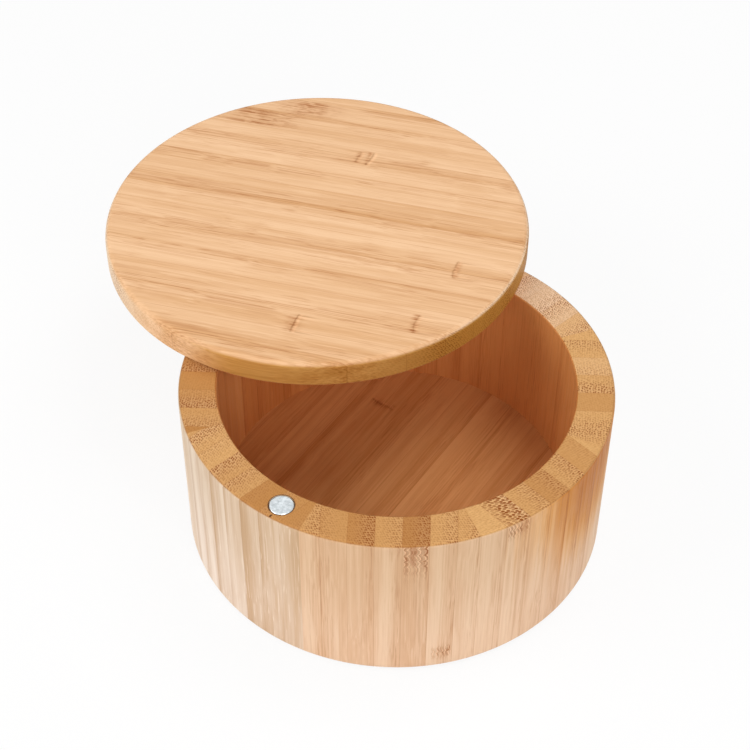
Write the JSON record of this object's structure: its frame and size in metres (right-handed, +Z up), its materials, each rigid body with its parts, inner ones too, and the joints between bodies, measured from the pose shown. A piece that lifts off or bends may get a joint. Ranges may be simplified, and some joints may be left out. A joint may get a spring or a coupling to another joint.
{
  "type": "salt box with swivel lid",
  "caption": "Round laminated wooden salt box: a thick upright wall, an inset base and a flat disc lid that swings aside on a hidden pin in the rim and is held shut by magnets.",
  "frame": {"origin": "centre of the underside of the round wall, on the plane it stands on", "axes": "+Z up along the axis of the round wall, +Y from the axis towards the pivot pin, -Y towards the magnet in the rim"},
  "size_m": [0.1603, 0.1473, 0.0544],
  "materials": {
    "wall_bamboo": "thin satin oil",
    "base_bamboo": "thin satin oil",
    "lid_bamboo": "thin satin oil",
    "pin_steel": "ground",
    "magnet_nickel": "nickel plate, slightly scuffed"
  },
  "bodies": {
    "box": {"wall_stave_1": "wall_bamboo", "wall_stave_2": "wall_bamboo", "wall_stave_3": "wall_bamboo", "wall_stave_4": "wall_bamboo", "wall_stave_5": "wall_bamboo", "wall_stave_6": "wall_bamboo", "wall_stave_7": "wall_bamboo", "wall_stave_8": "wall_bamboo", "base_slat_01": "base_bamboo", "base_slat_02": "base_bamboo", "base_slat_03": "base_bamboo", "base_slat_04": "base_bamboo", "base_slat_05": "base_bamboo", "base_slat_06": "base_bamboo", "base_slat_07": "base_bamboo", "base_slat_08": "base_bamboo", "base_slat_09": "base_bamboo", "base_slat_10": "base_bamboo", "base_slat_11": "base_bamboo", "base_slat_12": "base_bamboo", "base_slat_13": "base_bamboo", "pivot_pin": "pin_steel", "rim_magnet": "magnet_nickel"},
    "lid": {"lid_slat_01": "lid_bamboo", "lid_slat_02": "lid_bamboo", "lid_slat_03": "lid_bamboo", "lid_slat_04": "lid_bamboo", "lid_slat_05": "lid_bamboo", "lid_slat_06": "lid_bamboo", "lid_slat_07": "lid_bamboo", "lid_slat_08": "lid_bamboo", "lid_slat_09": "lid_bamboo", "lid_slat_10": "lid_bamboo", "lid_slat_11": "lid_bamboo", "lid_slat_12": "lid_bamboo", "lid_slat_13": "lid_bamboo", "lid_slat_14": "lid_bamboo", "lid_slat_15": "lid_bamboo", "lid_magnet": "magnet_nickel"}
  },
  "joints": [
    {"name": "lid_swivel", "type": "hinge", "parent": "box", "child": "lid", "pos_m": [0, 0.0502, 0.0472], "axis": [0, 0, -1], "range_deg": [-72, 108]}
  ]
}
